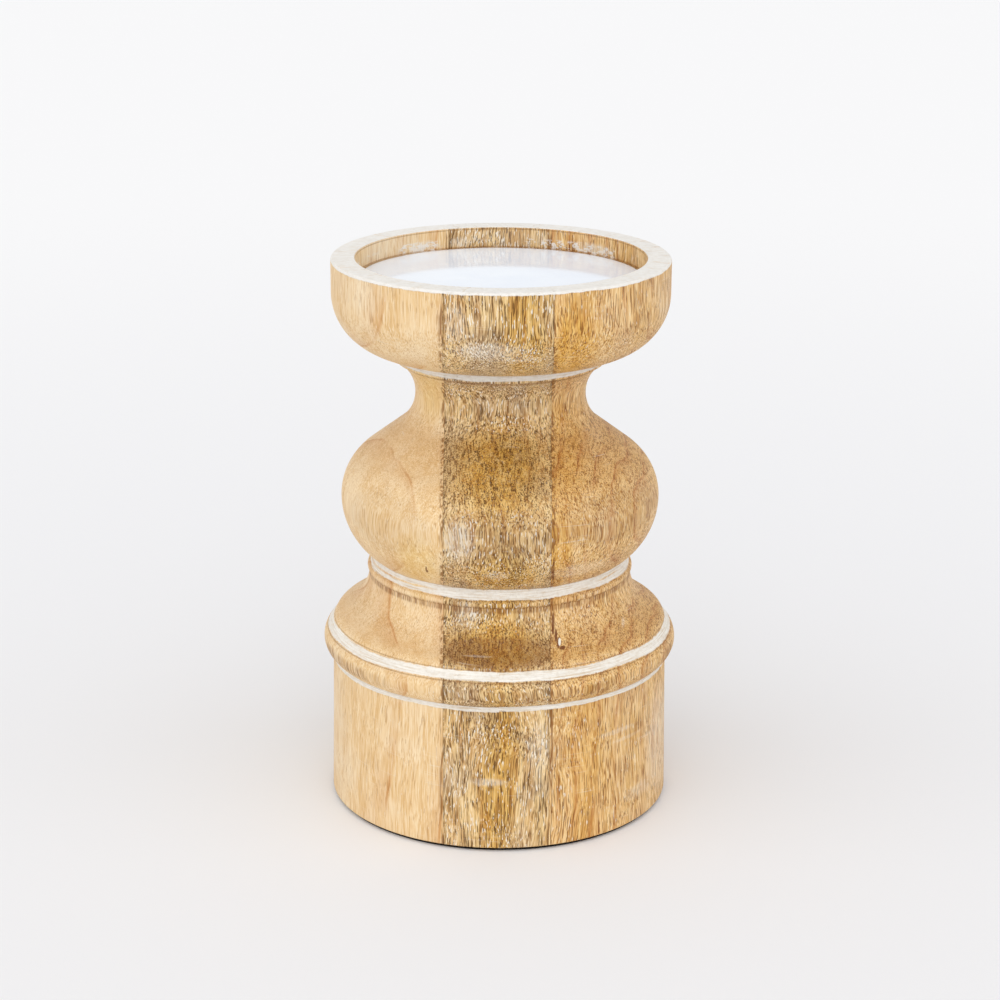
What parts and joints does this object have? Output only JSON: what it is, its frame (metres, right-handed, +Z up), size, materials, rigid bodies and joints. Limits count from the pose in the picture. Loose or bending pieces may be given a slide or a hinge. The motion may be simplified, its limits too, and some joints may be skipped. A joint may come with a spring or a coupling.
{
  "type": "candlestick",
  "caption": "Turned wooden pillar candlestick with a waisted baluster stem, a shallow cup with a flat plate for one candle, and whitewashed rings.",
  "frame": {"origin": "centre of the footprint, on the surface the candlestick stands on", "axes": "+Z up along the turning axis, towards the candle; X across the three boards; Y along the glue planes, with the front at -Y"},
  "size_m": [0.1022, 0.1022, 0.1595],
  "materials": {
    "light_wood": "light board of mango wood, turned and wiped with thin white wash, satin",
    "dark_wood": "dark ochre board of mango wood with open pores filled white, satin",
    "tan_wood": "tan board of mango wood, turned and wiped with thin white wash, satin",
    "white_enamel": "glossy white enamel on a steel disc",
    "black_felt": "black felt"
  },
  "bodies": {
    "root": {"board_left": "light_wood", "board_middle": "dark_wood", "board_right": "tan_wood", "candle_plate": "white_enamel", "base_pad": "black_felt"}
  },
  "joints": []
}
